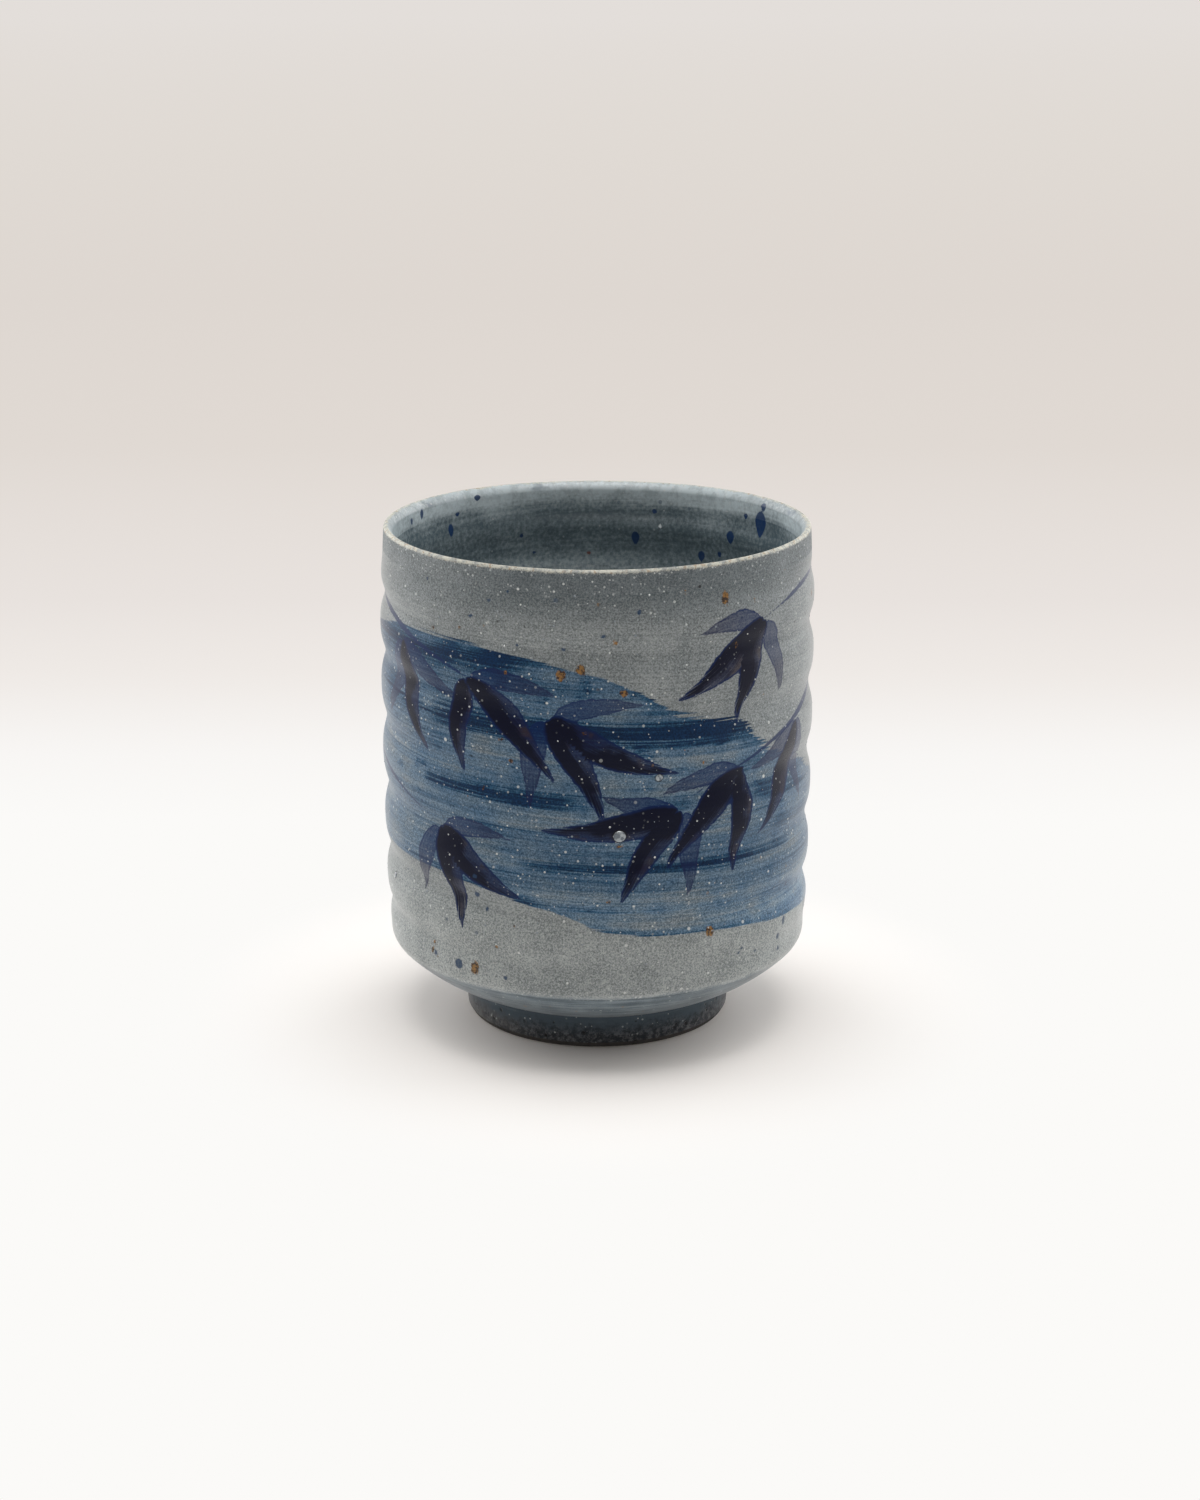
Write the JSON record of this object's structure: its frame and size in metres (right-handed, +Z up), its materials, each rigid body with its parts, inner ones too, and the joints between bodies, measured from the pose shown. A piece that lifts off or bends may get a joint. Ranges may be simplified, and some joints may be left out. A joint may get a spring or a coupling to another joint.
{
  "type": "yunomi tea cup",
  "caption": "Tall stoneware tea cup without a handle: a thrown wall with a spiral ridge and a rounded lip, glazed inside and out, on a low turned foot ring.",
  "frame": {"origin": "centre of the circle on which the foot ring rests, at the level of the table", "axes": "+Z up along the cup's turning axis, towards the lip; -Y towards the side that faces the viewer"},
  "size_m": [0.077, 0.077, 0.09],
  "materials": {
    "stoneware_clay": "unglazed grey stoneware, under the glaze",
    "bare_foot_clay": "matte fired clay, worn smooth where it stands",
    "outside_glaze": "satin speckled grey glaze with brushed cobalt wash",
    "lip_glaze": "satin glaze, pale where it runs thin over the lip",
    "inside_glaze": "glossy blue-grey glaze with cobalt drops",
    "foot_glaze": "satin dark blue-grey glaze with pits",
    "well_glaze": "satin grey glaze, pooled in the corner"
  },
  "bodies": {
    "root": {"clay_wall": "stoneware_clay", "clay_floor": "stoneware_clay", "foot_ring": "bare_foot_clay", "outside_glaze": "outside_glaze", "lip_glaze": "lip_glaze", "inside_glaze": "inside_glaze", "foot_glaze": "foot_glaze", "well_glaze": "well_glaze"}
  },
  "joints": []
}
